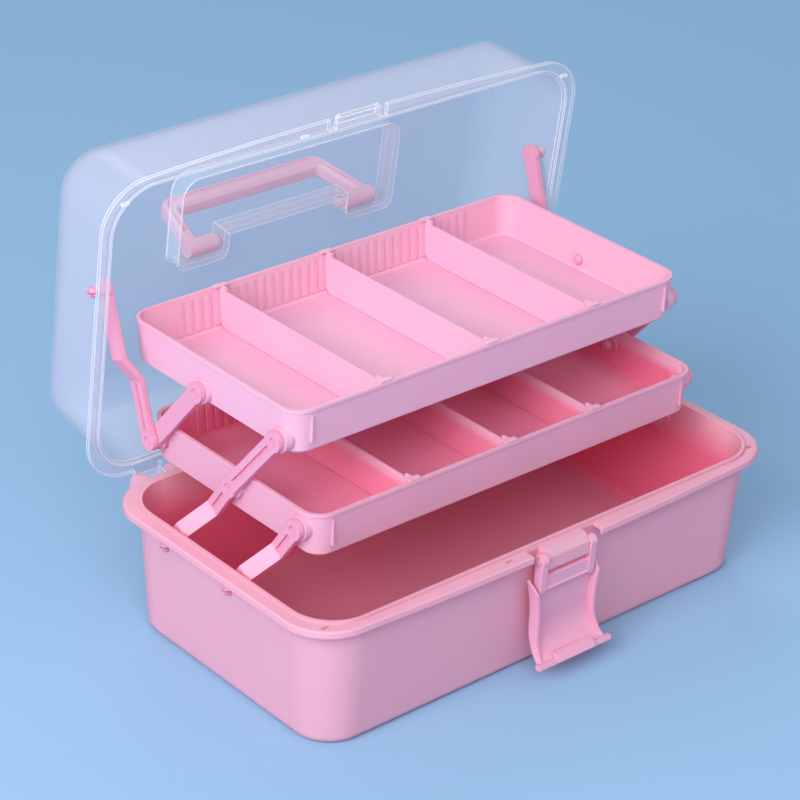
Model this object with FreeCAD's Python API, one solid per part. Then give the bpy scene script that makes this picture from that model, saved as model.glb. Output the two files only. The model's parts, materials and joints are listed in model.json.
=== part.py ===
import FreeCAD, Part
import math
import os

# Craft storage box: a deep bin, a clear lid and two trays that rise on swinging levers.
# Millimetres. +X runs along the length, -Y is the latch side, +Z is up, and z = 0 is the
# face the bin rests on. Everything is built in the open pose, with the lid up.

V = FreeCAD.Vector
X_AXIS = V(1, 0, 0)

# Driving dimensions: bin
overall_length = 330.0
flange_rear_y = 92.5
flange_front_corner_y = -89.5
flange_front_bow = 5.0
flange_corner_radius = 28.0
flange_top_z = 75.8
flange_thickness = 2.0
flange_edge_chamfer = 0.8
skirt_depth = 4.0
skirt_thickness = 1.6
lip_rise = 1.5
bin_top_half_length = 158.5
bin_top_half_width = 86.5
bin_draft_inset = 5.0
bin_corner_radius = 27.0
bin_wall = 2.0
bin_floor = 2.2
bin_foot_radius = 5.0
rear_pivot_y = 45.2
base_pivot_spacing = 53.6
base_pivot_z = 64.2
pivot_pad_radius = 7.6
wall_rib_width = 7.5
wall_rib_foot_z = 18.0
slot_hole_length = 5.0
slot_hole_width = 2.0
corner_slot_x = 152.4
corner_slot_y = -80.4
front_slot_x = -37.5
front_slot_y = -89.4

# Driving dimensions: trays
tray_half_length = 136.1
tray_half_width = 70.75
tray_height = 25.6
tray_wall = 1.8
tray_draft_inset = 2.0
tray_corner_radius = 12.0
tray_foot_chamfer = 1.8
tray_pad_radius = 6.8
rim_bead = 0.4
rim_bead_height = 1.8
lower_tray_y = 19.4
lower_tray_rim_z = 117.2
upper_tray_y = 37.7
upper_tray_rim_z = 168.1
tray_pivot_spacing = 64.6
upper_pivot_z = 149.9
slot_pitch = 6.1
slot_width = 1.7
slot_run = 104.0
slot_depth = 0.5
slot_drop = 2.6
mould_line_x = 124.2
mould_line_width = 0.8
mould_line_rise = 0.4

# Driving dimensions: dividers
divider_thickness = 1.5
divider_drop = 1.5
divider_neck_length = 6.0
divider_head_length = 8.0
divider_head_thickness = 0.85
divider_foot_chamfer = 3.0
upper_divider_slots = (-12, 0, 12)
lower_divider_slots = (-11, 0, 10)

# Driving dimensions: levers and links
lever_half_width = 4.8
lever_eye_radius = 5.7
dimple_radius = 2.3
dimple_depth = 0.7
lever_thickness = 3.2
lever_run_low = 30.0
lever_rise_low = 42.8
lever_run_high = 36.6
lever_groove_width = 2.2
lever_groove_depth = 1.4
lid_link_crank_start = 34.0
lid_link_crank_length = 14.0
lever_crank_start = 23.0
lever_crank_length = 16.0
pin_radius = 2.4
pin_head_radius = 3.3
pin_head_length = 2.5
pin_slit = 1.0
pin_slit_run = 1.5
head_recess = 8.0

# Driving dimensions: lid
lid_depth = 60.5
lid_wall = 2.0
lid_draft_degrees = 3.0
lid_shoulder_radius = 16.0
lid_flange_thickness = 2.4
flange_root_chamfer = 1.3
lid_open_degrees = 83.0
hinge_y = 97.5
hinge_z = 65.8
hinge_pin_radius = 2.5
hinge_lug_radius = 5.0
hinge_bracket_radius = 9.0
hinge_inner_x = 111.0
hinge_outer_x = 137.0
hinge_bracket_thickness = 4.0
link_pin_from_rear_edge = 115.3
link_pin_above_flange = 13.48
catch_half_width = 13.5
catch_rise = 1.0
peg_depth = 1.4

# Driving dimensions: carry handle and its pocket
pocket_half_length = 75.0
pocket_depth = 11.0
pocket_rear_y = -8.5
pocket_front_y = -46.5
pocket_corner_radius = 10.0
lobe_inner_x = 44.0
lobe_rear_y = 6.5
lobe_corner_radius = 4.0
handle_pivot_y = 0.5
handle_pivot_below_top = 5.2
handle_reach = 35.3
handle_grip_half_span = 53.5
handle_foot_half_span = 62.0
handle_leg_width = 8.0
handle_thickness = 9.6
handle_grip_width = 11.0
handle_outer_radius = 9.0
handle_inner_radius = 4.0
handle_edge_chamfer = 1.8
handle_channel_inset = 2.6
handle_channel_depth = 1.2
handle_barrel_radius = 5.0
handle_barrel_length = 19.7
handle_out_degrees = 83.0
handle_pin_radius = 2.2
handle_pin_stand = 0.8

# Driving dimensions: latch
latch_axis_y = -93.0
latch_axis_z = 70.3
latch_pin_radius = 2.0
knuckle_half_width = 15.0
knuckle_foot_z = 62.6
latch_arm_width = 4.0
latch_arm_radius = 3.7
latch_gap_half_width = 24.5
latch_half_width = 24.5
latch_waist_half_width = 21.0
latch_length = 59.3
latch_bar_start = 9.4
latch_bar_length = 10.0
latch_wall = 1.8
latch_tab_half_width = 13.5
latch_lip_half_width = 26.3

# Clearances
gap = 0.3
pin_clearance = 0.08
divider_side_gap = 0.2
divider_head_gap = 0.15

# Derived sizes
lip_top_z = flange_top_z + lip_rise
bin_inner_half_length = bin_top_half_length - bin_wall
half_length = overall_length / 2
lid_plane_z = flange_top_z + 0.2
lid_top_z = lid_plane_z + lid_depth
slot_centres = (
    (corner_slot_x, corner_slot_y), (-corner_slot_x, corner_slot_y), (front_slot_x, front_slot_y))
rear_pivot = (rear_pivot_y, base_pivot_z)
front_pivot = (rear_pivot_y - base_pivot_spacing, base_pivot_z)
tray_pivot_mid = (rear_pivot_y - lever_run_low, base_pivot_z + lever_rise_low)
tray_pivot_front = (front_pivot[0] - lever_run_low, front_pivot[1] + lever_rise_low)
tray_pivot_rear = (tray_pivot_mid[0] + tray_pivot_spacing, tray_pivot_mid[1])
upper_pivot_front = (tray_pivot_mid[0] - lever_run_high, upper_pivot_z)
upper_pivot_rear = (tray_pivot_rear[0] - lever_run_high, upper_pivot_z)
tray_wall_half_length = tray_half_length - rim_bead
tray_wall_half_width = tray_half_width - rim_bead
tray_pad_outer_x = tray_half_length + 1.1
tray_pad_inner_x = tray_wall_half_length - tray_wall - 1.6
lever_inner_x = tray_pad_outer_x + gap
lever_outer_x = lever_inner_x + lever_thickness
lid_link_inner_x = lever_outer_x + 0.4
wall_pad_x = bin_inner_half_length - 2.2
base_lever_outer_x = wall_pad_x - gap
lid_link_outer_x = bin_inner_half_length - 4.0


def rotated(shape, centre, degrees):
    copy = shape.copy()
    copy.rotate(V(0, centre[0], centre[1]), X_AXIS, degrees)
    return copy


def mirrored(shape):
    return shape.mirror(V(0, 0, 0), X_AXIS)


def box(x0, x1, y0, y1, z0, z1):
    return Part.makeBox(x1 - x0, y1 - y0, z1 - z0, V(x0, y0, z0))


def rod(x0, x1, centre, radius):
    return Part.makeCylinder(radius, x1 - x0, V(x0, centre[0], centre[1]), X_AXIS)


def rounded_wire(half_x, half_y, radius, z, centre_y=0.0):
    """Closed rounded rectangle: four lines and four tangent arcs."""
    edges = []
    corners = [(1, 1), (-1, 1), (-1, -1), (1, -1)]
    diagonal = radius * math.sqrt(0.5)
    for index, (sx, sy) in enumerate(corners):
        cx = sx * (half_x - radius)
        cy = centre_y + sy * (half_y - radius)
        along_x = V(cx, cy + sy * radius, z)
        along_y = V(cx + sx * radius, cy, z)
        middle = V(cx + sx * diagonal, cy + sy * diagonal, z)
        first, last = (along_y, along_x) if sx * sy > 0 else (along_x, along_y)
        edges.append(Part.Arc(first, middle, last).toShape())
        nx, ny = corners[(index + 1) % 4]
        next_cx = nx * (half_x - radius)
        next_cy = centre_y + ny * (half_y - radius)
        if nx * ny > 0:
            target = V(next_cx + nx * radius, next_cy, z)
        else:
            target = V(next_cx, next_cy + ny * radius, z)
        edges.append(Part.makeLine(last, target))
    return Part.Wire(edges)


def drafted_block(low, high):
    """Solid between two rounded rectangles, each (half_x, half_y, radius, z, centre_y)."""
    return Part.makeLoft([rounded_wire(*low), rounded_wire(*high)], True, True)


def edges_at(shape, z):
    found = []
    for edge in shape.Edges:
        bounds = edge.BoundBox
        if abs(bounds.ZMin - z) < 1e-3 and abs(bounds.ZMax - z) < 1e-3:
            found.append(edge)
    return found


def flange_block(inset, z0, z1):
    """The plan shared by bin and lid: square back and sides, bowed front edge."""
    x = half_length - inset
    rear = flange_rear_y - inset
    corner = flange_front_corner_y + inset
    crown = corner - flange_front_bow
    left, right = V(-x, corner, z0), V(x, corner, z0)
    bow = Part.Arc(left, V(0, crown, z0), right).toShape()
    sides = Part.makePolygon([right, V(x, rear, z0), V(-x, rear, z0), left])
    plan = Part.Face(Part.Wire([bow] + sides.Edges))
    block = plan.extrude(V(0, 0, z1 - z0))
    upright = [e for e in block.Edges if e.BoundBox.ZLength > 0.5 * (z1 - z0)]
    return block.makeFillet(flange_corner_radius - inset, upright)


def stadium(p, q, half_width, x0, x1):
    """Bar with round ends between two (y, z) points, thick from x0 to x1."""
    along = V(0, q[0] - p[0], q[1] - p[1])
    length = along.Length
    along.normalize()
    across = V(0, -along.z, along.y) * half_width
    start = V(x0, p[0], p[1])
    end = start + along * length
    edges = [
        Part.makeLine(start + across, end + across),
        Part.Arc(end + across, end + along * half_width, end - across).toShape(),
        Part.makeLine(end - across, start - across),
        Part.Arc(start - across, start - along * half_width, start + across).toShape(),
    ]
    return Part.Face(Part.Wire(edges)).extrude(V(x1 - x0, 0, 0))


def eyed_bar(p, q, x0, x1):
    """Lever blank: a straight bar that widens to a round eye over each pivot."""
    eyes = [rod(x0, x1, centre, lever_eye_radius) for centre in (p, q)]
    return stadium(p, q, lever_half_width, x0, x1).multiFuse(eyes).removeSplitter()


def cranked_slab(p, q, profile):
    """Slab whose (distance from p, x) outline is swept square to the line p-q."""
    along = V(0, q[0] - p[0], q[1] - p[1])
    along.normalize()
    across = V(0, -along.z, along.y) * (2 * lever_half_width)
    points = []
    for distance, x in profile:
        points.append(V(x, p[0], p[1]) + along * distance - across)
    points.append(points[0])
    return Part.Face(Part.makePolygon(points)).extrude(across * 2)


def crank_profile(inner_start, inner_end, crank_start, crank_length, length):
    """Outline of a bar that steps sideways from one layer to another."""
    end = length + 2 * lever_half_width
    before = -2 * lever_half_width
    lean = 1.2
    return [
        (before, inner_start),
        (crank_start, inner_start),
        (crank_start + crank_length, inner_end),
        (end, inner_end),
        (end, inner_end + lever_thickness),
        (crank_start + crank_length - lean, inner_end + lever_thickness),
        (crank_start - lean, inner_start + lever_thickness),
        (before, inner_start + lever_thickness),
    ]


def snap_pin(centre, face_x, head_x, side):
    """Shaft from face_x to head_x, then a barbed head; side is +1 or -1."""
    reach = abs(head_x - face_x)
    start = V(face_x - side * 0.5, centre[0], centre[1])
    shaft = Part.makeCylinder(pin_radius, reach + 0.5, start, X_AXIS * side)
    head_base = V(head_x, centre[0], centre[1])
    head = Part.makeCone(pin_head_radius, pin_radius - 0.5, pin_head_length, head_base, X_AXIS * side)
    return shaft.fuse(head)


def split_pin(centre, face_x, head_x, side):
    """Snap pin whose tip is slit, so that it can be pressed through a wall from inside."""
    tip = head_x + side * (pin_head_length + 0.01)
    root = head_x - side * pin_slit_run
    reach = pin_head_radius + 1
    slit = box(min(tip, root), max(tip, root), centre[0] - reach, centre[0] + reach,
               centre[1] - pin_slit / 2, centre[1] + pin_slit / 2)
    return snap_pin(centre, face_x, head_x, side).cut(slit)


def inward_pin(centre):
    """Pin from a lever into a tray wall, its head inside the tray."""
    return snap_pin(centre, lever_inner_x, tray_pad_inner_x - gap, -1)


def base_wall_x(z):
    return bin_top_half_length - bin_draft_inset * (1 - z / lip_top_z)


def outward_base_pin(centre):
    """Pin from a lever through the bin's side wall, its head outside."""
    return split_pin(centre, base_lever_outer_x, base_wall_x(centre[1] + pin_head_radius) + gap, 1)


def groove(p, q, start, end, outer_x):
    """Long narrow groove in a bar's outer face between two distances from p."""
    along = V(0, q[0] - p[0], q[1] - p[1])
    along.normalize()
    a = (p[0] + along.y * start, p[1] + along.z * start)
    b = (p[0] + along.y * end, p[1] + along.z * end)
    return stadium(a, b, lever_groove_width / 2, outer_x - lever_groove_depth, outer_x + 1)


# Bin

def bin_block(inset, foot_z):
    shrink = bin_draft_inset * (1 - foot_z / lip_top_z) + inset
    low = (bin_top_half_length - shrink, bin_top_half_width - shrink, bin_corner_radius - shrink, foot_z)
    high = (bin_top_half_length - inset, bin_top_half_width - inset, bin_corner_radius - inset, lip_top_z)
    return drafted_block(low, high)


def hinge_brackets():
    """Two pairs of round-nosed plates behind the flange, each pair joined by a moulded pin."""
    shapes = []
    nose_y = hinge_y
    root_y = bin_top_half_width - 2.5
    for x in (hinge_inner_x, hinge_outer_x - hinge_bracket_thickness):
        disc = rod(x, x + hinge_bracket_thickness, (nose_y, hinge_z), hinge_bracket_radius)
        gusset = Part.makePolygon([
            V(x, root_y, hinge_z - 22), V(x, hinge_y + 4, hinge_z - 8),
            V(x, hinge_y, hinge_z), V(x, hinge_y - 2, hinge_z + 8.5), V(x, root_y, flange_top_z - 0.5),
            V(x, root_y, hinge_z - 22)])
        plate = Part.Face(gusset).extrude(V(hinge_bracket_thickness, 0, 0))
        shapes.append(disc.fuse(plate))
    inner = hinge_inner_x + 0.5
    outer = hinge_outer_x - 0.5
    shapes.append(rod(inner, outer, (hinge_y, hinge_z), hinge_pin_radius))
    return shapes


def latch_knuckle():
    """Block on the bin's front that carries the latch on two stub journals."""
    profile = [
        V(0, -bin_top_half_width + 1.2, flange_top_z), V(0, latch_axis_y + 1.5, flange_top_z),
        V(0, latch_axis_y - 1.9, latch_axis_z + 1.2), V(0, latch_axis_y - 1.9, knuckle_foot_z + 1.6),
        V(0, latch_axis_y - 0.4, knuckle_foot_z), V(0, -bin_top_half_width + 2.2, knuckle_foot_z),
        V(0, -bin_top_half_width + 1.2, flange_top_z)]
    block = Part.Face(Part.makePolygon(profile)).extrude(V(2 * knuckle_half_width, 0, 0))
    block.translate(V(-knuckle_half_width, 0, 0))
    reach = knuckle_half_width + gap + latch_arm_width + 1.0
    journals = rod(-reach, reach, (latch_axis_y, latch_axis_z), latch_pin_radius)
    return block.fuse(journals)


def make_bin():
    shell = bin_block(0, 0)
    shell = shell.makeFillet(bin_foot_radius, edges_at(shell, 0))
    cavity = bin_block(bin_wall, bin_floor)
    cavity = cavity.makeChamfer(bin_foot_radius - bin_wall, edges_at(cavity, bin_floor))
    flange = flange_block(0, flange_top_z - flange_thickness, flange_top_z)
    skirt_low = flange_top_z - skirt_depth
    skirt = flange_block(0, skirt_low, flange_top_z).cut(
        flange_block(skirt_thickness, skirt_low - 1, flange_top_z + 1))
    rim = flange.fuse(skirt).removeSplitter()
    soft = [e for e in edges_at(rim, flange_top_z)]
    rim = rim.makeChamfer(flange_edge_chamfer, soft)
    latch_gap = box(-latch_gap_half_width, latch_gap_half_width,
                    -100, -bin_top_half_width - 0.8, skirt_low - 1, flange_top_z + 1)
    rim = rim.cut(latch_gap)
    bodies = [rim, latch_knuckle()] + hinge_brackets()
    bodies += [mirrored(piece) for piece in hinge_brackets()]
    body = shell.multiFuse(bodies)
    body = body.cut(cavity)
    extras = []
    cuts = []
    for pivot in (rear_pivot, front_pivot):
        pad = rod(wall_pad_x, bin_inner_half_length, pivot, pivot_pad_radius)
        rib = box(wall_pad_x + gap, bin_inner_half_length,
                  pivot[0] - wall_rib_width / 2, pivot[0] + wall_rib_width / 2,
                  wall_rib_foot_z, pivot[1])
        hole = rod(wall_pad_x - 1, half_length, pivot, pin_radius + pin_clearance)
        solid_wall = bin_block(0.5, 0)
        extras += [pad.common(solid_wall), rib.common(solid_wall)]
        cuts.append(hole)
    extras += [mirrored(piece) for piece in extras]
    cuts += [mirrored(piece) for piece in cuts]
    for x, y in slot_centres:
        cuts.append(box(x - slot_hole_length / 2, x + slot_hole_length / 2,
                        y - slot_hole_width / 2, y + slot_hole_width / 2,
                        flange_top_z - flange_thickness - 1, flange_top_z + 1))
    return body.multiFuse(extras).cut(Part.makeCompound(cuts)).removeSplitter()


# Trays and dividers

def tray_block(inset, foot_z, top_z, centre_y, rim_z, foot_chamfer):
    """Drafted tray envelope moved inward by inset, between two heights, its foot chamfered."""
    sections = []
    for z in (foot_z, top_z):
        shrink = inset + tray_draft_inset * (rim_z - z) / tray_height
        sections.append((tray_wall_half_length - shrink, tray_wall_half_width - shrink,
                         tray_corner_radius - shrink, z, centre_y))
    block = drafted_block(*sections)
    return block.makeChamfer(foot_chamfer, edges_at(block, foot_z))


def slot_x(index):
    return (index - 0.5) * slot_pitch


def tray_slots(centre_y, rim_z):
    """Rows of low ribs on the long walls; dividers drop into the slots between them."""
    foot_z = rim_z - tray_height + tray_wall
    bury = 0.3
    band = tray_block(tray_wall - bury, foot_z, rim_z, centre_y, rim_z, tray_foot_chamfer).cut(
        tray_block(tray_wall + slot_depth, foot_z - 1, rim_z + 1, centre_y, rim_z, 1.0))
    count = int(slot_run / slot_pitch)
    ribs = []
    for index in range(-count, count):
        start = slot_x(index) + slot_width / 2
        ribs.append(box(start, start + slot_pitch - slot_width,
                        centre_y - tray_half_width, centre_y + tray_half_width,
                        foot_z + tray_foot_chamfer, rim_z - slot_drop))
    return Part.makeCompound(ribs).common(band)


def make_tray(centre_y, rim_z, pivots):
    foot_z = rim_z - tray_height
    outer = tray_block(0, foot_z, rim_z, centre_y, rim_z, tray_foot_chamfer)
    bead_wire = rounded_wire(tray_half_length, tray_half_width, tray_corner_radius + rim_bead,
                             rim_z - rim_bead_height, centre_y)
    bead = Part.Face(bead_wire).extrude(V(0, 0, rim_bead_height))
    pads = []
    holes = []
    marks = []
    for pivot in pivots:
        pads.append(rod(tray_pad_inner_x, tray_pad_outer_x, pivot, tray_pad_radius))
        holes.append(rod(tray_pad_inner_x - 1, tray_pad_outer_x + 1, pivot, pin_radius + pin_clearance))
        holes.append(rod(tray_pad_inner_x - head_recess, tray_pad_inner_x, pivot, pin_head_radius + 0.6))
    for side in (-1, 1):
        y0 = centre_y + side * (tray_wall_half_width - tray_draft_inset)
        y1 = centre_y + side * (tray_wall_half_width + mould_line_rise)
        marks.append(box(mould_line_x - mould_line_width / 2, mould_line_x + mould_line_width / 2,
                         min(y0, y1), max(y0, y1), rim_z - 19, rim_z - 4))
    pads += [mirrored(piece) for piece in pads]
    holes += [mirrored(piece) for piece in holes]
    marks += [mirrored(piece) for piece in marks]
    cavity = tray_block(tray_wall, foot_z + tray_wall, rim_z + 1, centre_y, rim_z,
                        tray_foot_chamfer * 0.8)
    body = outer.multiFuse([bead] + marks).cut(cavity)
    slots = tray_slots(centre_y, rim_z)
    body = body.multiFuse(pads + slots.Solids).cut(Part.makeCompound(holes))
    return body.removeSplitter()


def make_divider(index, centre_y, rim_z):
    """Full-width plate with T heads that hang on the front and rear rims."""
    x = slot_x(index)
    inset = tray_wall + divider_side_gap
    plate_foot_z = rim_z - tray_height + inset
    plate_top_z = rim_z - divider_drop
    inside = tray_block(inset, plate_foot_z, rim_z + 2, centre_y, rim_z, divider_foot_chamfer)
    half = divider_thickness / 2
    plate = box(x - half, x + half, centre_y - tray_half_width, centre_y + tray_half_width,
                plate_foot_z, plate_top_z)
    head_z = rim_z + divider_head_gap
    pieces = []
    for side in (-1, 1):
        neck = box(x - half, x + half, centre_y - tray_half_width, centre_y + tray_half_width,
                   plate_top_z - 1, head_z + divider_head_thickness)
        wall_y = centre_y + side * (tray_wall_half_width - tray_wall)
        neck = neck.common(box(x - half, x + half, min(wall_y, wall_y - side * divider_neck_length),
                               max(wall_y, wall_y - side * divider_neck_length), plate_top_z - 1, head_z + 2))
        head_in = wall_y - side * 1.8
        head_out = centre_y + side * (tray_half_width - 0.6)
        head = box(x - divider_head_length / 2, x + divider_head_length / 2,
                   min(head_in, head_out), max(head_in, head_out),
                   head_z, head_z + divider_head_thickness)
        pieces += [neck.common(inside), head]
    return plate.common(inside).multiFuse(pieces).removeSplitter()


# Levers and links, right-hand side

def lower_bar(base_pivot, tray_pivot):
    """Half of a lever between bin and tray: it steps outward to reach the bin wall."""
    length = math.hypot(tray_pivot[0] - base_pivot[0], tray_pivot[1] - base_pivot[1])
    profile = crank_profile(lever_inner_x, base_lever_outer_x - lever_thickness,
                            lever_crank_start, lever_crank_length, length)
    slab = cranked_slab(tray_pivot, base_pivot, profile)
    bar = eyed_bar(tray_pivot, base_pivot, lever_inner_x, base_lever_outer_x)
    return bar.common(slab).cut(groove(tray_pivot, base_pivot, 6.5, 20.5, lever_outer_x))


def dimple(centre, outer_x):
    """Shallow round sink over a pivot in a bar's outer face."""
    return rod(outer_x - dimple_depth, outer_x + 1, centre, dimple_radius)


def make_long_lever():
    upper = eyed_bar(tray_pivot_mid, upper_pivot_front, lever_inner_x, lever_outer_x)
    reach = math.hypot(lever_run_high, upper_pivot_z - tray_pivot_mid[1])
    upper = upper.cut(groove(tray_pivot_mid, upper_pivot_front, 7.5, reach - 6.5, lever_outer_x))
    lower = lower_bar(rear_pivot, tray_pivot_mid)
    pieces = [lower, inward_pin(tray_pivot_mid), inward_pin(upper_pivot_front),
              outward_base_pin(rear_pivot)]
    sinks = [dimple(upper_pivot_front, lever_outer_x), dimple(tray_pivot_mid, lever_outer_x)]
    return upper.multiFuse(pieces).cut(Part.makeCompound(sinks)).removeSplitter()


def make_lower_link():
    lower = lower_bar(front_pivot, tray_pivot_front)
    pieces = [inward_pin(tray_pivot_front), outward_base_pin(front_pivot)]
    return lower.multiFuse(pieces).cut(dimple(tray_pivot_front, lever_outer_x)).removeSplitter()


def make_upper_link():
    bar = eyed_bar(tray_pivot_rear, upper_pivot_rear, lever_inner_x, lever_outer_x)
    pieces = [inward_pin(tray_pivot_rear), inward_pin(upper_pivot_rear)]
    return bar.multiFuse(pieces).cut(dimple(upper_pivot_rear, lever_outer_x)).removeSplitter()


def lid_point(from_rear_edge, above_flange):
    """(y, z) in the open pose of a point given in the lid's own directions."""
    closed = V(0, flange_rear_y - from_rear_edge - hinge_y, lid_plane_z - 0.2 + above_flange - hinge_z)
    angle = math.radians(-lid_open_degrees)
    y = closed.y * math.cos(angle) - closed.z * math.sin(angle)
    z = closed.y * math.sin(angle) + closed.z * math.cos(angle)
    return (hinge_y + y, hinge_z + z)


def lid_wall_x(above_flange):
    """Outer face of the lid's side wall at a height above its flange."""
    return bin_top_half_length + 0.5 - math.tan(math.radians(lid_draft_degrees)) * above_flange


def make_lid_link():
    lid_pivot = lid_point(link_pin_from_rear_edge, link_pin_above_flange + 0.2)
    length = math.hypot(lid_pivot[0] - tray_pivot_rear[0], lid_pivot[1] - tray_pivot_rear[1])
    profile = crank_profile(lid_link_inner_x, lid_link_outer_x - lever_thickness,
                            lid_link_crank_start, lid_link_crank_length, length)
    slab = cranked_slab(tray_pivot_rear, lid_pivot, profile)
    bar = eyed_bar(tray_pivot_rear, lid_pivot, lid_link_inner_x, lid_link_outer_x).common(slab)
    bar = bar.cut(groove(tray_pivot_rear, lid_pivot, 6.5, lid_link_crank_start - 3,
                         lid_link_inner_x + lever_thickness))
    head_x = lid_wall_x(link_pin_above_flange - pin_head_radius) + gap
    pin = split_pin(lid_pivot, lid_link_outer_x, head_x, 1)
    return bar.fuse(pin).cut(dimple(tray_pivot_rear, lid_link_inner_x + lever_thickness)).removeSplitter()


# Lid, built shut and then turned to its open pose

def lid_block(inset, top_z, foot_z):
    taper = math.tan(math.radians(lid_draft_degrees))
    low_shrink = taper * (foot_z - lid_plane_z) + inset
    high_shrink = taper * (top_z - lid_plane_z) + inset
    x, y, r = bin_top_half_length + 0.5, bin_top_half_width + 0.5, bin_corner_radius + 0.5
    low = (x - low_shrink, y - low_shrink, r - low_shrink, foot_z)
    high = (x - high_shrink, y - high_shrink, r - high_shrink, top_z)
    block = drafted_block(low, high)
    return block.makeFillet(lid_shoulder_radius - inset, edges_at(block, top_z))


def pocket_block(grow, floor_z, top_z):
    """Handle pocket: a long well with a lobe behind each end for the handle's barrels."""
    def slab(x0, x1, y0, y1, radius):
        wire = rounded_wire((x1 - x0) / 2 + grow, (y1 - y0) / 2 + grow, radius + grow, floor_z, (y0 + y1) / 2)
        block = Part.Face(wire).extrude(V(0, 0, top_z - floor_z))
        block.translate(V((x0 + x1) / 2, 0, 0))
        return block
    well = slab(-pocket_half_length, pocket_half_length, pocket_front_y, pocket_rear_y, pocket_corner_radius)
    lobe_front_y = (pocket_front_y + pocket_rear_y) / 2
    right = slab(lobe_inner_x, pocket_half_length, lobe_front_y, lobe_rear_y, lobe_corner_radius)
    return well.multiFuse([right, mirrored(right)]).removeSplitter()


def lid_lug():
    """Arm with an open barrel that snaps over the bin's hinge pin."""
    x0 = hinge_inner_x + hinge_bracket_thickness + 0.5
    x1 = hinge_outer_x - hinge_bracket_thickness - 0.5
    barrel = rod(x0, x1, (hinge_y, hinge_z), hinge_lug_radius)
    top = lid_plane_z + lid_flange_thickness
    arm = Part.makePolygon([
        V(x0, flange_rear_y - 4, lid_plane_z), V(x0, hinge_y - 3, lid_plane_z),
        V(x0, hinge_y - 2.2, lid_plane_z - 2), V(x0, hinge_y - 2.2, hinge_z + 3),
        V(x0, hinge_y + 2.2, hinge_z + 3), V(x0, hinge_y + 2.2, top - 1.6),
        V(x0, hinge_y + 0.6, top), V(x0, flange_rear_y - 4, top), V(x0, flange_rear_y - 4, lid_plane_z)])
    plate = Part.Face(arm).extrude(V(x1 - x0, 0, 0))
    bore = rod(x0 - 1, x1 + 1, (hinge_y, hinge_z), hinge_pin_radius + pin_clearance)
    mouth = box(x0 - 1, x1 + 1, hinge_y - 2.1, hinge_y + 2.1, hinge_z - 6, hinge_z)
    return barrel.fuse(plate), bore.fuse(mouth)


def lid_pegs():
    """Small pegs under the flange that drop into the bin's slots as the lid shuts."""
    pegs = []
    for x, y in slot_centres:
        half_x = slot_hole_length / 2 - gap
        half_y = slot_hole_width / 2 - gap
        pegs.append(box(x - half_x, x + half_x, y - half_y, y + half_y,
                        lid_plane_z - peg_depth, lid_plane_z + 1))
    return pegs


def make_lid():
    outer = lid_block(0, lid_top_z, lid_plane_z)
    inner = lid_block(lid_wall, lid_top_z - lid_wall, lid_plane_z - 1)
    flange = flange_block(0, lid_plane_z, lid_plane_z + lid_flange_thickness)
    body = outer.fuse(flange)
    roots = []
    for edge in body.Edges:
        bounds = edge.BoundBox
        level = abs(bounds.ZMin - lid_plane_z - lid_flange_thickness) < 1e-3 and bounds.ZLength < 1e-3
        inside = bounds.XMax < half_length - 3 and bounds.XMin > 3 - half_length
        if level and inside and bounds.YMin > flange_front_corner_y + 1 and bounds.YMax < flange_rear_y - 3:
            roots.append(edge)
    body = body.makeChamfer(flange_root_chamfer, roots)
    catch = Part.Face(Part.makePolygon([
        V(-catch_half_width, latch_axis_y + 3.5, lid_plane_z + 0.5),
        V(-catch_half_width, latch_axis_y - 3.2, lid_plane_z + 0.5),
        V(-catch_half_width, latch_axis_y - 3.2, lid_plane_z + lid_flange_thickness + catch_rise - 1.4),
        V(-catch_half_width, latch_axis_y - 1.8, lid_plane_z + lid_flange_thickness + catch_rise),
        V(-catch_half_width, latch_axis_y + 0.2, lid_plane_z + lid_flange_thickness + catch_rise),
        V(-catch_half_width, latch_axis_y + 3.5, lid_plane_z + lid_flange_thickness + 0.8),
        V(-catch_half_width, latch_axis_y + 3.5, lid_plane_z + 0.5)])).extrude(V(2 * catch_half_width, 0, 0))
    lug, bore = lid_lug()
    body = body.multiFuse([catch, lug, mirrored(lug)])
    floor_z = lid_top_z - pocket_depth
    body = body.cut(inner)
    pocket_shell = pocket_block(lid_wall, floor_z - lid_wall, lid_top_z - 0.5)
    body = body.fuse(pocket_shell).cut(pocket_block(0, floor_z, lid_top_z + 1))
    handle_hole = rod(lobe_inner_x - lid_wall - 1, lobe_inner_x + 1,
                      (handle_pivot_y, lid_top_z - handle_pivot_below_top),
                      handle_pin_radius + pin_clearance)
    rebate = drafted_block(
        (bin_top_half_length + 0.4, bin_top_half_width + 0.4, bin_corner_radius + 0.4, lid_plane_z - 1),
        (bin_top_half_length + 0.4, bin_top_half_width + 0.4, bin_corner_radius + 0.4, lid_plane_z + 1.6))
    arm_notch = box(knuckle_half_width, knuckle_half_width + latch_arm_width + 2 * gap + 0.4,
                    -110, latch_axis_y + 5, lid_plane_z - 1, lid_plane_z + lid_flange_thickness + 0.5)
    link_z = lid_plane_z + link_pin_above_flange
    link_hole = rod(lid_wall_x(link_pin_above_flange) - 6, half_length,
                    (flange_rear_y - link_pin_from_rear_edge, link_z), pin_radius + pin_clearance)
    cuts = [rebate, bore, mirrored(bore), handle_hole, mirrored(handle_hole),
            arm_notch, mirrored(arm_notch), link_hole, mirrored(link_hole)]
    body = body.cut(Part.makeCompound(cuts)).multiFuse(lid_pegs()).removeSplitter()
    return rotated(body, (hinge_y, hinge_z), -lid_open_degrees)


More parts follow.
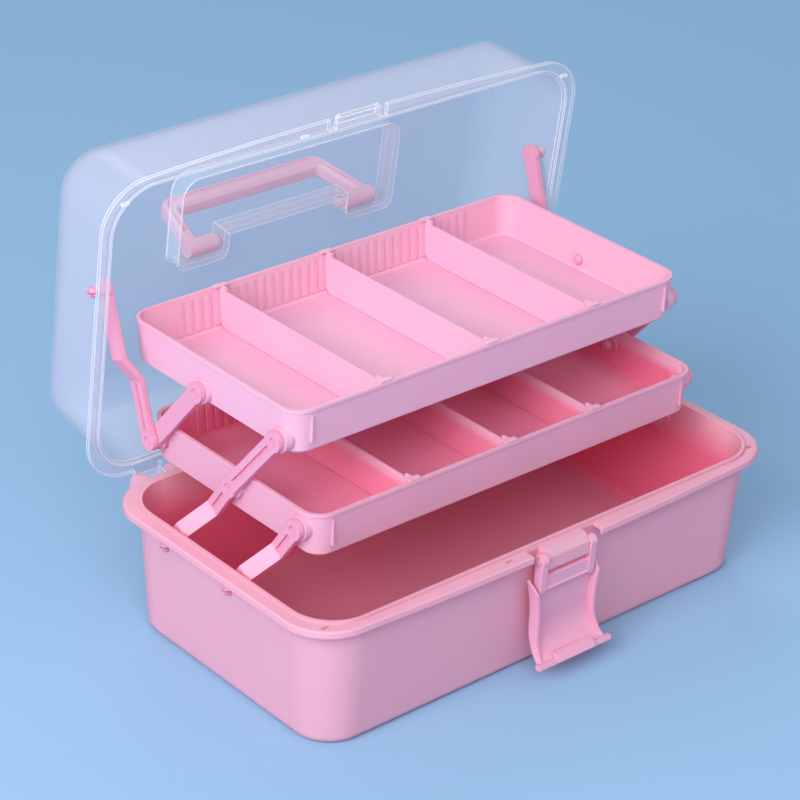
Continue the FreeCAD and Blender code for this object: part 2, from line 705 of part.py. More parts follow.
def handle_loop(inset, start_y, z0, z1):
    """Prism of the handle's three arms in plan, each narrowed by inset on both sides."""
    grip_y = handle_pivot_y - handle_reach
    front_y = grip_y - handle_grip_width / 2 + inset
    back_y = grip_y + handle_grip_width / 2 - inset
    splay = (handle_foot_half_span - handle_grip_half_span) / handle_reach
    side = handle_leg_width / 2 - inset

    def leg(y, offset):
        return handle_grip_half_span + splay * (y - grip_y) + offset

    right = [(leg(back_y, -side), back_y), (leg(start_y, -side), start_y),
             (leg(start_y, side), start_y), (leg(front_y, side), front_y)]
    left = [(-x, y) for x, y in reversed(right)]
    points = [V(x, y, z0) for x, y in right + left + right[:1]]
    block = Part.Face(Part.makePolygon(points)).extrude(V(0, 0, z1 - z0))
    for y, radius in ((front_y, handle_outer_radius), (back_y, handle_inner_radius)):
        upright = [e for e in block.Edges if e.BoundBox.ZLength > (z1 - z0) / 2
                   and abs(e.BoundBox.YMin - y) < 0.01 and abs(e.BoundBox.YMax - y) < 0.01]
        block = block.makeFillet(radius, upright)
    return block


def make_handle():
    """Carry handle, drawn folded in its pocket, then swung out with the open lid."""
    pivot = (handle_pivot_y, lid_top_z - handle_pivot_below_top)
    z0 = pivot[1] - handle_thickness / 2
    z1 = pivot[1] + handle_thickness / 2
    loop = handle_loop(0, handle_pivot_y, z0, z1)
    loop = loop.makeChamfer(handle_edge_chamfer, edges_at(loop, z0) + edges_at(loop, z1))
    channel = handle_loop(handle_channel_inset, handle_pivot_y - 2 * handle_barrel_radius,
                          z0 - 1, z0 + handle_channel_depth)
    barrel_outer_x = handle_foot_half_span + handle_leg_width / 2
    barrel_inner_x = barrel_outer_x - handle_barrel_length
    barrel = rod(barrel_inner_x, barrel_outer_x, pivot, handle_barrel_radius)
    pin = rod(lobe_inner_x - lid_wall - handle_pin_stand, barrel_inner_x + 1, pivot, handle_pin_radius)
    side = barrel.fuse(pin)
    body = loop.cut(channel).multiFuse([side, mirrored(side)]).removeSplitter()
    body = rotated(body, pivot, -handle_out_degrees)
    return rotated(body, (hinge_y, hinge_z), -lid_open_degrees)


# Latch, drawn hanging: s runs down from its axis and t runs outward

def latch_point(x, s, t):
    return V(x, latch_axis_y - t, latch_axis_z - s)


def latch_profile(x0, x1, points):
    """Prism along X from (s, t) points; a 4-number entry is an arc through its first pair."""
    edges = []
    previous = latch_point(x0, *points[0])
    first = previous
    for entry in points[1:]:
        end = latch_point(x0, entry[-2], entry[-1])
        if len(entry) == 4:
            edges.append(Part.Arc(previous, latch_point(x0, entry[0], entry[1]), end).toShape())
        else:
            edges.append(Part.makeLine(previous, end))
        previous = end
    edges.append(Part.makeLine(previous, first))
    return Part.Face(Part.Wire(edges)).extrude(V(x1 - x0, 0, 0))


def latch_plan(inset, start, end):
    """Waisted outline seen from the front, thick through the whole latch."""
    wide = latch_half_width - inset
    waist = latch_waist_half_width - inset
    middle = (start + end) / 2
    a, b = latch_point(-wide, start, -8), latch_point(wide, start, -8)
    c, d = latch_point(wide, end, -8), latch_point(-wide, end, -8)
    edges = [
        Part.makeLine(a, b),
        Part.Arc(b, latch_point(waist, middle, -8), c).toShape(),
        Part.makeLine(c, d),
        Part.Arc(d, latch_point(-waist, middle, -8), a).toShape(),
    ]
    return Part.Face(Part.Wire(edges)).extrude(V(0, -26, 0))


def make_latch():
    end = latch_length
    width = latch_half_width + 2
    bar_end = latch_bar_start + latch_bar_length
    envelope = latch_profile(-width, width, [
        (latch_bar_start + 1.5, -3.2), (39, -3.2), (51.5, 0.6, end, 9.6), (end - 0.6, 12.4),
        (50.0, 5.2, 41, 3.6), (bar_end - 1, 3.6)])
    hollow = latch_profile(-width, width, [
        (bar_end - 2, -1.2), (38.5, -1.2), (50.2, 2.3, end - 2.0, 10.4), (end - 2, 20), (bar_end - 2, 20)])
    dish = envelope.common(latch_plan(0, latch_bar_start + 1.5, end + 2))
    between_walls = latch_plan(latch_wall, latch_bar_start + 1.5, end + 2)
    dish = dish.cut(hollow.common(between_walls))
    inner = knuckle_half_width + gap
    outer = inner + latch_arm_width
    notch = latch_profile(outer, width, [
        (latch_bar_start - 1, -4), (bar_end + 2, -4), (bar_end + 2, 20), (latch_bar_start - 1, 20)])
    notch = notch.common(between_walls)
    dish = dish.cut(Part.makeCompound([notch, mirrored(notch)]))
    cross_bar = latch_profile(-outer, outer, [
        (latch_bar_start, -3.2), (bar_end, -3.2), (bar_end, 0.6), (bar_end - 1, 1.6),
        (latch_bar_start + 0.6, 1.6), (latch_bar_start, 1.0)])
    pieces = [cross_bar]
    pivot = (latch_axis_y, latch_axis_z)
    for x in (inner, -outer):
        eye = rod(x, x + latch_arm_width, pivot, latch_arm_radius)
        arm = latch_profile(x, x + latch_arm_width, [(0, -3.2), (bar_end, -3.2), (bar_end, 2.2), (0, 3.2)])
        pieces.append(eye.fuse(arm))
    pieces.append(latch_profile(-latch_lip_half_width, latch_lip_half_width, [
        (end - 2.6, 8.8), (end - 0.2, 9.8), (end - 0.6, 12.8), (end - 3.4, 11.6)]))
    pieces.append(latch_profile(-latch_tab_half_width, latch_tab_half_width, [
        (end - 5.5, 8.0), (end - 1.4, 10.4), (end - 1.6, 14.0), (end - 5.5, 11.4)]))
    body = dish.multiFuse(pieces)
    body = body.cut(rod(-outer - 1, outer + 1, pivot, latch_pin_radius + pin_clearance))
    return body.removeSplitter()


def main():
    os.makedirs("parts", exist_ok=True)
    lower_pivots = (tray_pivot_front, tray_pivot_mid, tray_pivot_rear)
    upper_pivots = (upper_pivot_front, upper_pivot_rear)
    nodes = {
        "base_bin": make_bin(),
        "lower_tray": make_tray(lower_tray_y, lower_tray_rim_z, lower_pivots),
        "upper_tray": make_tray(upper_tray_y, upper_tray_rim_z, upper_pivots),
        "lid_shell": make_lid(),
        "carry_handle": make_handle(),
        "front_latch": make_latch(),
    }
    for name, maker in (("long_lever", make_long_lever), ("lower_link", make_lower_link),
                        ("upper_link", make_upper_link), ("lid_link", make_lid_link)):
        right = maker()
        nodes[name + "_right"] = right
        nodes[name + "_left"] = mirrored(right)
    for number, slot in enumerate(lower_divider_slots, 1):
        nodes["lower_divider_%d" % number] = make_divider(slot, lower_tray_y, lower_tray_rim_z)
    for number, slot in enumerate(upper_divider_slots, 1):
        nodes["upper_divider_%d" % number] = make_divider(slot, upper_tray_y, upper_tray_rim_z)
    for name, shape in nodes.items():
        shape.exportStep("parts/" + name + ".step")
        print(name, shape.isValid(), len(shape.Solids), round(shape.Volume / 1000, 1), shape.BoundBox)


main()
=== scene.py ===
import json
import math
from collections import namedtuple

import bmesh
import bpy
from bpy.props import FloatProperty, FloatVectorProperty, PointerProperty
from mathutils import Matrix, Vector


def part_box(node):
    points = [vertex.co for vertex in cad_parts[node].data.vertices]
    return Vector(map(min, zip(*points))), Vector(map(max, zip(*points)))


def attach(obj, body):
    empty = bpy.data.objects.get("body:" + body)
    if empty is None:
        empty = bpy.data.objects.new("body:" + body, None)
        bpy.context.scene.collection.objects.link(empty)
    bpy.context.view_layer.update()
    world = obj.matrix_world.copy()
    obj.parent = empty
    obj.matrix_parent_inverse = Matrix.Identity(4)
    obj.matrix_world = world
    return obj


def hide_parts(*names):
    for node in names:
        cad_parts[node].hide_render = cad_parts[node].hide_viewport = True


bl_info = {
    "name": "Craft storage box",
    "version": (1, 0, 0),
    "blender": (4, 5, 0),
    "location": "View3D > Sidebar > Craft box",
    "description": "Finishes the pieces of a cantilever craft storage box and sets its studio",
    "category": "Object",
}

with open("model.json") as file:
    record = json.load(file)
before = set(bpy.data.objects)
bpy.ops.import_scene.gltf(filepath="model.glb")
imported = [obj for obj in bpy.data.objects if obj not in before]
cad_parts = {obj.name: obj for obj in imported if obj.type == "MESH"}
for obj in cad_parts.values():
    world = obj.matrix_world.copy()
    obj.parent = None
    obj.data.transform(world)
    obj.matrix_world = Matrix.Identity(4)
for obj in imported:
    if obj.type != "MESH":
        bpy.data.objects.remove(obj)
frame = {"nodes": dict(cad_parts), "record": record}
NODES = frame["nodes"]
PARTS = frame["record"]["behaviour"]["bodies"]

POLYPROPYLENE_IOR = 1.49
SHARP_EDGE = math.radians(35)
FLAT_ENOUGH = math.radians(1)
MERGE_DISTANCE = 1e-6

# Share of the light on each piece that goes on through its thin wall and comes out red.
GLOW = {"bin": 0.38, "lower_tray": 0.28, "upper_tray": 0.2, "levers": 0.3, "latch": 0.3,
        "handle": 0.35}
DIVIDER_GLOW = 0.8

# Where a box's inside is painted a deeper pink that stands in for light bounced between its
# walls: the node whose rim it starts from, how far down it takes, how strong it gets, and half
# the room between the long walls' outer faces. A divider is inside on both faces and has no
# such room.
Hollow = namedtuple("Hollow", "node fade most half_room")
BIN_HOLLOW = Hollow("base_bin", 0.024, 0.8, 0.088)
LOWER_TRAY_HOLLOW = Hollow("lower_tray", 0.007, 0.75, 0.0695)
LOWER_DIVIDER_HOLLOW = Hollow("lower_tray", 0.007, 0.6, None)
# The painted deeper pink starts this far under a box's rim, and floors get this share of it.
LIGHT_RIM = 0.004
FLOOR_SHARE = 0.55

# Camera fitted to the photograph: degrees, metres, and the focal length in its pixels.
PHOTO_WIDTH = 800
FOCAL_LENGTH = 2734.85
SENSOR_WIDTH = 36.0
CAMERA_AZIMUTH, CAMERA_ELEVATION, CAMERA_ROLL = -41.62, 28.02, 2.29
CAMERA_TARGET = (-0.03497637, 0.0034, 0.1293587592)
CAMERA_DISTANCE = 1.4454192804


def linear(code):
    """sRGB hex code to the linear colour that Blender's sockets take."""
    channels = [int(code[i:i + 2], 16) / 255 for i in (1, 3, 5)]
    return [c / 12.92 if c <= 0.04045 else ((c + 0.055) / 1.055) ** 2.4 for c in channels]


def colour(name, description, code):
    """Property for a colour, from its sRGB hex code."""
    return FloatVectorProperty(name=name, description=description, subtype="COLOR",
                               size=3, min=0, max=1, default=linear(code))


def length(name, description, metres):
    """Property for a length."""
    return FloatProperty(name=name, description=description, unit="LENGTH", default=metres,
                         min=0)


class BoxSizes(bpy.types.PropertyGroup):
    edge_radius: length("Edge radius", "Softness of the moulded edges", 0.0006)
    etch_grain: length("Etch grain", "Grain of the mould's spark finish, drawn coarse", 0.0011)
    etch_depth: length("Etch depth", "Depth of the mould's spark finish", 0.0002)
    flow_patch: length("Flow patch", "Size of the patches that flow in the melt leaves", 1 / 22)
    rib_pitch: length("Rib pitch", "Distance between the fine ribs inside the trays", 0.00305)
    rib_depth: length("Rib depth", "How far the fine ribs stand out of the walls", 0.0002)
    rib_run: length("Rib run", "Half the length of wall that the fine ribs cover", 0.104)
    rib_drop: length("Rib drop", "How far the fine ribs reach down from the rim", 0.0215)
    wall_step: length("Wall step", "From the rim's outside to the middle of the wall", 0.00125)
    wall_lean: FloatProperty(name="Wall lean", description="Draft of the tray walls",
                             default=0.08)
    # Width of the painted highlight on the lid's rims and corners.
    rim_line: length("Rim line", "Half the width of the lid's bright edge lines", 0.0014)
    grip_rounding: length("Grip rounding", "Rounding of the handle's edges", 0.0011)
    groove_edge: length("Groove edge", "From the channel's side to the groove in it", 0.0012)
    groove_width: length("Groove width", "Width of the groove in the handle", 0.0009)
    groove_depth: length("Groove depth", "Depth of the groove in the handle", 0.0007)


class BoxColours(bpy.types.PropertyGroup):
    bin_pink: colour("Bin pink", "Polypropylene of the bin", "#FFCEE4")
    tray_pink: colour("Tray pink", "Polypropylene of trays and dividers", "#FFC4DF")
    lever_pink: colour("Lever pink", "Polypropylene of levers and links", "#FDB8D8")
    fitting_pink: colour("Fitting pink", "Polypropylene of the latch", "#FFC2DF")
    # Painted paler than the latch's pink to make up for the shade that the lid casts on the
    # handle.
    handle_painted_lit_pink: colour("Handle pink", "Paler polypropylene of the handle", "#FFE0F2")
    glow_pink: colour("Glow pink", "Light that has passed through a pink wall", "#FF6E8E")
    # Painted into the colour inside a box, in place of light bounced between its walls.
    painted_bounce_pink: colour("Deep pink", "Light that has bounced between pink walls", "#FF6E9B")
    lid_haze: colour("Lid haze", "Haze of the clear lid", "#DAD8EA")
    # Colour of the painted highlight along the lid's rims and corners.
    lid_edge_highlight: colour("Lid edge", "Light gathered in the lid's rims and corners", "#FFFFFF")
    floor: colour("Floor", "Pale blue studio floor", "#97B9DA")


def settings():
    """The sizes and colours that the sidebar shows."""
    scene = bpy.context.scene
    return scene.box_sizes, scene.box_colours


def add_node(tree, kind, inputs=None, **fields):
    """Adds a shader node, sets its fields, and fills or links its inputs."""
    node = tree.nodes.new(kind)
    for field, value in fields.items():
        setattr(node, field, value)
    for socket, value in (inputs or {}).items():
        if isinstance(value, bpy.types.NodeSocket):
            tree.links.new(value, node.inputs[socket])
        else:
            node.inputs[socket].default_value = value
    return node


def calculate(tree, operation, first, second=0.0, clamp=False):
    """One step of arithmetic in a material."""
    return add_node(tree, "ShaderNodeMath", {0: first, 1: second}, operation=operation,
                    use_clamp=clamp).outputs["Value"]


def blank_material(name):
    """New material without nodes, and its node tree."""
    material = bpy.data.materials.new(name)
    material.use_nodes = True
    material.node_tree.nodes.clear()
    return material, material.node_tree


def rgba(value):
    """Opaque colour for a socket."""
    return (value[0], value[1], value[2], 1.0)


def etched_normal(tree, place, sizes, strength, edges=None):
    """Bump of the mould's spark finish, as fine as a render can show it."""
    etch = add_node(tree, "ShaderNodeTexNoise", {
        "Vector": place, "Scale": 1.0 / sizes.etch_grain, "Detail": 2.0, "Roughness": 0.6})
    inputs = {"Height": etch.outputs["Fac"], "Strength": strength, "Distance": sizes.etch_depth}
    if edges:
        inputs["Normal"] = edges
    return add_node(tree, "ShaderNodeBump", inputs).outputs["Normal"]


def moulded_polypropylene(name, pink, sizes, colours, glow, roughness=0.42, ribs=None,
                          hollow=None):
    """Injection-moulded polypropylene with a spark-etched mould finish.

    The etch breaks up the gloss and flow in the melt shifts the tint a little over a few
    centimetres. The walls are thin and let a warm red light through, so that the inside
    of a box glows.
    """
    material, tree = blank_material(name)
    place = add_node(tree, "ShaderNodeTexCoord").outputs["Object"]
    flow = add_node(tree, "ShaderNodeTexNoise", {
        "Vector": place, "Scale": 1.0 / sizes.flow_patch, "Detail": 3.0, "Roughness": 0.5})
    tint = add_node(tree, "ShaderNodeValToRGB", {"Fac": flow.outputs["Fac"]})
    darker, lighter = tint.color_ramp.elements
    darker.position, lighter.position = 0.35, 0.65
    darker.color, lighter.color = rgba([c * 0.97 for c in pink]), rgba(pink)
    base = tint.outputs["Color"]
    # Inside a box the colour is painted a deeper pink, painted light that stands in for light
    # bounced between the walls.
    if hollow:
        base = add_node(tree, "ShaderNodeMix", {
            "Factor": painted_bounce_depth(tree, hollow), 6: base, 7: rgba(colours.painted_bounce_pink)},
            data_type="RGBA").outputs[2]
    gloss = add_node(tree, "ShaderNodeMapRange", {
        "Value": flow.outputs["Fac"], "From Min": 0.3, "From Max": 0.7,
        "To Min": roughness - 0.03, "To Max": roughness + 0.04})
    edges = add_node(tree, "ShaderNodeBevel", {"Radius": sizes.edge_radius}, samples=4)
    normal = etched_normal(tree, place, sizes, 0.12, edges.outputs["Normal"])
    if ribs:
        normal = fine_ribs(tree, place, normal, sizes, ribs)
    skin = add_node(tree, "ShaderNodeBsdfPrincipled", {
        "Base Color": base, "Roughness": gloss.outputs["Result"], "IOR": POLYPROPYLENE_IOR,
        "Normal": normal})
    through = add_node(tree, "ShaderNodeBsdfTranslucent", {"Color": rgba(colours.glow_pink)})
    wall = add_node(tree, "ShaderNodeMixShader", {
        0: glow, 1: skin.outputs["BSDF"], 2: through.outputs["BSDF"]})
    add_node(tree, "ShaderNodeOutputMaterial", {"Surface": wall.outputs["Shader"]})
    return material


def painted_bounce_depth(tree, hollow):
    """How deep inside a box a surface lies: 0 outside and at the rim, most at its bottom.

    The deeper colour is painted light: it stands in for light that has bounced many times
    between pink walls and turned crimson by the time it reaches the bottom.
    """
    low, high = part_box(hollow.node)
    # The latch and the hinges make the bin's box lopsided, but its walls are centred.
    middle = 0.0 if hollow.node == "base_bin" else (low[1] + high[1]) / 2
    coordinates = add_node(tree, "ShaderNodeTexCoord")
    out = add_node(tree, "ShaderNodeVectorMath", {
        0: coordinates.outputs["Object"], 1: (0, middle, 0)},
        operation="SUBTRACT").outputs["Vector"]
    axes = add_node(tree, "ShaderNodeSeparateXYZ", {"Vector": out})
    drop = calculate(tree, "SUBTRACT", high[2] - LIGHT_RIM, axes.outputs["Z"])
    below = calculate(tree, "MAXIMUM", calculate(tree, "DIVIDE", drop, hollow.fade), 0.0)
    sunk = calculate(tree, "MINIMUM", below, hollow.most)
    if hollow.half_room is None:
        return sunk
    flat = add_node(tree, "ShaderNodeVectorMath", {0: out, 1: (1, 1, 0)},
                    operation="MULTIPLY").outputs["Vector"]
    outward = add_node(tree, "ShaderNodeVectorMath", {
        0: flat, 1: coordinates.outputs["Normal"]}, operation="DOT_PRODUCT").outputs["Value"]
    upward = add_node(tree, "ShaderNodeSeparateXYZ", {"Vector": coordinates.outputs["Normal"]})
    inner_wall = calculate(tree, "LESS_THAN", outward, -0.002)
    bottom = calculate(tree, "GREATER_THAN", upward.outputs["Z"], 0.7)
    inside = calculate(tree, "MAXIMUM", inner_wall,
                       calculate(tree, "MULTIPLY", bottom, FLOOR_SHARE))
    aside = calculate(tree, "ABSOLUTE", axes.outputs["Y"])
    shut_in = calculate(tree, "LESS_THAN", aside, hollow.half_room)
    return calculate(tree, "MULTIPLY", calculate(tree, "MULTIPLY", inside, shut_in), sunk)


def fine_ribs(tree, place, normal, sizes, tray):
    """Upright ribs that hold the dividers, on the inner faces of a tray's long walls."""
    low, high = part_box(tray)
    middle, half_depth = (low[1] + high[1]) / 2, (high[1] - low[1]) / 2
    axes = add_node(tree, "ShaderNodeSeparateXYZ", {"Vector": place})
    along, across, up = (axes.outputs[axis] for axis in "XYZ")
    in_run = calculate(tree, "LESS_THAN", calculate(tree, "ABSOLUTE", along), sizes.rib_run)
    above_floor = calculate(tree, "GREATER_THAN", up, high[2] - sizes.rib_drop)
    lean = calculate(tree, "MULTIPLY", calculate(tree, "SUBTRACT", high[2], up),
                     sizes.wall_lean)
    aside = calculate(tree, "ABSOLUTE", calculate(tree, "SUBTRACT", across, middle))
    inner_face = calculate(tree, "LESS_THAN", calculate(tree, "ADD", aside, lean),
                           half_depth - sizes.wall_step)
    mask = calculate(tree, "MULTIPLY", calculate(tree, "MULTIPLY", in_run, above_floor),
                     inner_face)
    turns = calculate(tree, "MULTIPLY", along, 2 * math.pi / sizes.rib_pitch)
    height = calculate(tree, "MULTIPLY", calculate(tree, "COSINE", turns), mask)
    return add_node(tree, "ShaderNodeBump", {
        "Height": height, "Strength": 0.35, "Distance": sizes.rib_depth,
        "Normal": normal}).outputs["Normal"]


def frosted_lid_plastic(name, haze, edge, sizes):
    """Clear polypropylene with a faint milky haze, moulded against a satin tool.

    Looked at square on it is almost see-through. Where the wall is seen edge on the haze adds
    up to a bluish white. Along rims and corners a painted highlight, whiter and less clear,
    draws fine bright lines where light gathers. The haze scatters light onwards more than it
    stops it, so the lid's shadow is faint.
    """
    material, tree = blank_material(name)
    place = add_node(tree, "ShaderNodeTexCoord").outputs["Object"]
    normal = etched_normal(tree, place, sizes, 0.08)
    facing = add_node(tree, "ShaderNodeLayerWeight", {"Blend": 0.35, "Normal": normal})
    cover = add_node(tree, "ShaderNodeMapRange", {
        "Value": facing.outputs["Facing"], "To Min": 0.11, "To Max": 0.44})
    # A normal softened over the edge differs from the true one only near an edge, so it marks
    # where the painted highlight on rims and corners goes.
    soft = add_node(tree, "ShaderNodeBevel", {"Radius": sizes.rim_line}, samples=6)
    true = add_node(tree, "ShaderNodeNewGeometry").outputs["True Normal"]
    match = add_node(tree, "ShaderNodeVectorMath", {0: soft.outputs["Normal"], 1: true},
                     operation="DOT_PRODUCT")
    rim = add_node(tree, "ShaderNodeMapRange", {
        "Value": match.outputs["Value"], "From Min": 0.99, "From Max": 0.86,
        "To Min": 0.0, "To Max": 0.75}).outputs["Result"]
    hazy = calculate(tree, "ADD", cover.outputs["Result"], rim, clamp=True)
    shadow_ray = add_node(tree, "ShaderNodeLightPath").outputs["Is Shadow Ray"]
    let_past = calculate(tree, "MULTIPLY", shadow_ray, 0.65)
    alpha = calculate(tree, "MULTIPLY", hazy, calculate(tree, "SUBTRACT", 1.0, let_past))
    tint = add_node(tree, "ShaderNodeMix", {"Factor": rim, 6: rgba(haze), 7: rgba(edge)},
                    data_type="RGBA")
    shader = add_node(tree, "ShaderNodeBsdfPrincipled", {
        "Base Color": tint.outputs[2], "Roughness": 0.24, "IOR": POLYPROPYLENE_IOR,
        "Alpha": alpha, "Normal": normal})
    add_node(tree, "ShaderNodeOutputMaterial", {"Surface": shader.outputs["BSDF"]})
    return material


def dress(node, material):
    """Gives a carried-over CAD node its finish."""
    NODES[node].data.materials.clear()
    NODES[node].data.materials.append(material)


def softened_copy(node, name, material, rounding):
    """Own copy of a moulded piece, its doubles merged, whose sharp edges are rounded."""
    bm = bmesh.new()
    bm.from_mesh(NODES[node].data)
    bmesh.ops.remove_doubles(bm, verts=bm.verts, dist=MERGE_DISTANCE)
    bmesh.ops.dissolve_limit(bm, angle_limit=FLAT_ENOUGH, verts=bm.verts, edges=bm.edges)
    mesh = bpy.data.meshes.new(name)
    piece = bpy.data.objects.new(name, mesh)
    bpy.context.scene.collection.objects.link(piece)
    mesh.materials.append(material)
    bevel = piece.modifiers.new("rounding", "BEVEL")
    bevel.width, bevel.segments = rounding, 3
    bevel.limit_method, bevel.angle_limit = "ANGLE", SHARP_EDGE
    bevel.use_clamp_overlap, bevel.harden_normals = True, True
    return piece, bm


class FinishBin(bpy.types.Operator):
    """Pink polypropylene for the bin"""
    bl_idname = "craft_box.finish_bin"
    bl_label = "Finish the bin"

    def execute(self, context):
        sizes, colours = settings()
        dress("base_bin", moulded_polypropylene(
            "bin_moulded_polypropylene", colours.bin_pink, sizes, colours, GLOW["bin"],
            hollow=BIN_HOLLOW))
        return {"FINISHED"}


class FinishTrays(bpy.types.Operator):
    """Pink polypropylene for both trays and their dividers"""
    bl_idname = "craft_box.finish_trays"
    bl_label = "Finish trays and dividers"

    def execute(self, context):
        sizes, colours = settings()
        for tray, inside, between in (("lower_tray", LOWER_TRAY_HOLLOW, LOWER_DIVIDER_HOLLOW),
                                      ("upper_tray", None, None)):
            dress(tray, moulded_polypropylene(
                tray + "_moulded_polypropylene", colours.tray_pink, sizes, colours,
                GLOW[tray], ribs=tray, hollow=inside))
            plate = moulded_polypropylene(
                tray + "_divider_polypropylene", colours.tray_pink, sizes, colours,
                GLOW[tray] * DIVIDER_GLOW, hollow=between)
            for node in PARTS[tray]:
                if node != tray:
                    dress(node, plate)
        return {"FINISHED"}


class FinishLevers(bpy.types.Operator):
    """Pink polypropylene for levers and links"""
    bl_idname = "craft_box.finish_levers"
    bl_label = "Finish levers and links"

    def execute(self, context):
        sizes, colours = settings()
        material = moulded_polypropylene(
            "lever_moulded_polypropylene", colours.lever_pink, sizes, colours, GLOW["levers"],
            roughness=0.38)
        for node in NODES:
            if "lever" in node or "link" in node:
                dress(node, material)
        return {"FINISHED"}


class FinishFittings(bpy.types.Operator):
    """Pink polypropylene for the handle and the latch"""
    bl_idname = "craft_box.finish_fittings"
    bl_label = "Finish handle and latch"

    def execute(self, context):
        sizes, colours = settings()
        dress("front_latch", moulded_polypropylene(
            "latch_moulded_polypropylene", colours.fitting_pink, sizes, colours,
            GLOW["latch"], roughness=0.4))
        # The handle's paler pink is painted light that makes up for the lid's shade on it.
        self.mould_handle(moulded_polypropylene(
            "handle_moulded_polypropylene", colours.handle_painted_lit_pink, sizes, colours,
            GLOW["handle"], roughness=0.4), sizes)
        return {"FINISHED"}

    def mould_handle(self, material, sizes):
        """Handle with rounded edges and a fine groove round the channel of its grip."""
        handle, bm = softened_copy("carry_handle", "carry_handle_grip", material,
                                   sizes.grip_rounding)
        facing_up = [face for face in bm.faces if face.normal.z > 0.9]
        channel = max(facing_up, key=lambda face: face.calc_area())
        # The channel's floor bends round the finger gap, so it is cut into triangles first.
        channel = bmesh.ops.triangulate(bm, faces=[channel])["faces"]
        bmesh.ops.inset_region(bm, faces=channel, thickness=sizes.groove_edge)
        for sink in (-sizes.groove_depth, sizes.groove_depth):
            bmesh.ops.inset_region(bm, faces=channel, thickness=sizes.groove_width / 2,
                                   depth=sink)
        bm.to_mesh(handle.data)
        bm.free()
        handle.data.shade_smooth()
        handle.data.set_sharp_from_angle(angle=SHARP_EDGE)
        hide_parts("carry_handle")
        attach(handle, "handle")


class FinishLid(bpy.types.Operator):
    """Clear, slightly milky polypropylene for the lid"""
    bl_idname = "craft_box.finish_lid"
    bl_label = "Finish the lid"

    def execute(self, context):
        sizes, colours = settings()
        dress("lid_shell", frosted_lid_plastic("lid_clear_polypropylene", colours.lid_haze,
                                               colours.lid_edge_highlight, sizes))
        return {"FINISHED"}


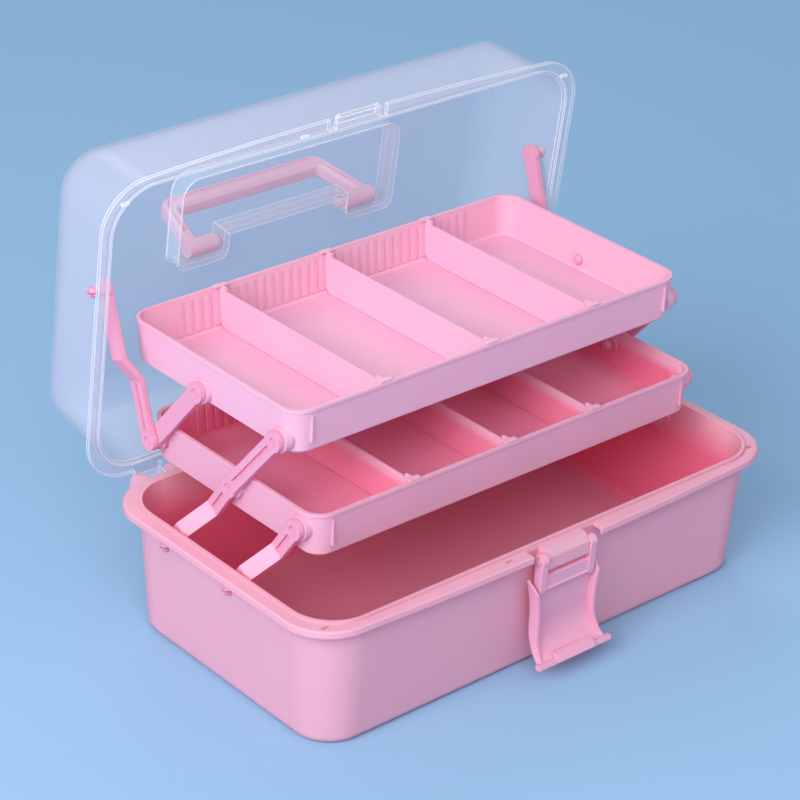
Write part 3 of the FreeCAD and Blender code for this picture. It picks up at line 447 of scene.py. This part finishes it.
class SetStage(bpy.types.Operator):
    """Pale floor, soft studio lamps and the camera at the photograph's angle"""
    bl_idname = "craft_box.set_stage"
    bl_label = "Set the stage"

    def execute(self, context):
        colours = settings()[1]
        self.lay_floor(colours.floor)
        self.hang_lamps()
        self.light_room()
        self.place_camera()
        return {"FINISHED"}

    def lay_floor(self, paint):
        """Plain painted floor, a hair below the box so that the two faces don't mix."""
        bm = bmesh.new()
        bmesh.ops.create_grid(bm, x_segments=1, y_segments=1, size=6.0)
        bmesh.ops.translate(bm, vec=(0, 0, -0.0002), verts=bm.verts)
        mesh = bpy.data.meshes.new("studio_floor")
        bm.to_mesh(mesh)
        bm.free()
        floor = bpy.data.objects.new("studio_floor", mesh)
        bpy.context.scene.collection.objects.link(floor)
        material, tree = blank_material("floor_matt_paint")
        shader = add_node(tree, "ShaderNodeBsdfPrincipled", {
            "Base Color": rgba(paint), "Roughness": 0.9, "Specular IOR Level": 0.1})
        add_node(tree, "ShaderNodeOutputMaterial", {"Surface": shader.outputs["BSDF"]})
        mesh.materials.append(material)

    def hang_lamps(self):
        """Round soft lamps. Each has a place, a target, a diameter, watts and a tint."""
        lamps = (
            ("key_lamp", (-1.9, -0.48, 1.28), (0, 0, 0.1), 1.4, 41.0, (0.98, 0.99, 1.0)),
            ("front_lamp", (-0.9, -1.3, 1.5), (0, 0, 0.1), 1.2, 15.0, (1.0, 0.97, 0.98)),
            ("fill_lamp", (0.2, -2.2, 1.2), (0, 0, 0.1), 1.6, 3.0, (1.0, 0.98, 0.96)),
            ("back_lamp", (1.0, 1.9, 2.2), (0, 0, 0.12), 1.3, 13.0, (0.99, 0.98, 1.0)),
        )
        for name, place, target, size, power, tint in lamps:
            lamp = bpy.data.lights.new(name, "AREA")
            lamp.shape, lamp.size, lamp.energy, lamp.color = "DISK", size, power, tint
            holder = bpy.data.objects.new(name, lamp)
            holder.location = place
            aim = Vector(target) - Vector(place)
            holder.rotation_euler = aim.to_track_quat("-Z", "Y").to_euler()
            bpy.context.scene.collection.objects.link(holder)

    def light_room(self):
        """Cool, even light from the room's pale blue walls."""
        world = bpy.data.worlds.new("studio_room")
        world.use_nodes = True
        tree = world.node_tree
        tree.nodes.clear()
        walls = add_node(tree, "ShaderNodeBackground", {
            "Color": (0.72, 0.91, 1.0, 1.0), "Strength": 0.48})
        add_node(tree, "ShaderNodeOutputWorld", {"Surface": walls.outputs["Background"]})
        bpy.context.scene.world = world

    def place_camera(self):
        """Camera at the photograph's angle, a little rolled as the real one was."""
        azimuth, elevation = math.radians(CAMERA_AZIMUTH), math.radians(CAMERA_ELEVATION)
        roll = math.radians(CAMERA_ROLL)
        away = Vector((math.sin(azimuth) * math.cos(elevation),
                       -math.cos(azimuth) * math.cos(elevation), math.sin(elevation)))
        right = (-away).cross(Vector((0, 0, 1))).normalized()
        up = right.cross(-away)
        rolled_right = right * math.cos(roll) + up * math.sin(roll)
        rolled_up = up * math.cos(roll) - right * math.sin(roll)
        place = Matrix((rolled_right, rolled_up, away)).transposed().to_4x4()
        place.translation = Vector(CAMERA_TARGET) + away * CAMERA_DISTANCE
        camera = bpy.data.objects.new("photo_camera", bpy.data.cameras.new("photo_camera"))
        camera.matrix_world = place
        camera.data.sensor_width = SENSOR_WIDTH
        camera.data.lens = SENSOR_WIDTH * FOCAL_LENGTH / PHOTO_WIDTH
        camera.data.clip_start, camera.data.clip_end = 0.05, 20.0
        bpy.context.scene.collection.objects.link(camera)
        bpy.context.scene.camera = camera


class BoxPanel(bpy.types.Panel):
    """Lists the steps that finish the box"""
    bl_idname = "VIEW3D_PT_craft_box"
    bl_label = "Craft storage box"
    bl_space_type = "VIEW_3D"
    bl_region_type = "UI"
    bl_category = "Craft box"

    def draw(self, context):
        for step in STEPS:
            self.layout.operator(step.bl_idname)
        for group in (context.scene.box_sizes, context.scene.box_colours):
            for field in group.__annotations__:
                self.layout.prop(group, field)


STEPS = (FinishBin, FinishTrays, FinishLevers, FinishFittings, FinishLid, SetStage)
CLASSES = (BoxSizes, BoxColours, *STEPS, BoxPanel)


def register():
    for cls in CLASSES:
        bpy.utils.register_class(cls)
    bpy.types.Scene.box_sizes = PointerProperty(type=BoxSizes)
    bpy.types.Scene.box_colours = PointerProperty(type=BoxColours)


def unregister():
    del bpy.types.Scene.box_sizes
    del bpy.types.Scene.box_colours
    for cls in reversed(CLASSES):
        bpy.utils.unregister_class(cls)


def main():
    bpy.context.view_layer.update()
    register()
    bpy.context.scene.view_settings.view_transform = "Standard"
    for step in STEPS:
        group, name = step.bl_idname.split(".")
        getattr(getattr(bpy.ops, group), name)()


if __name__ == "__main__":
    main()
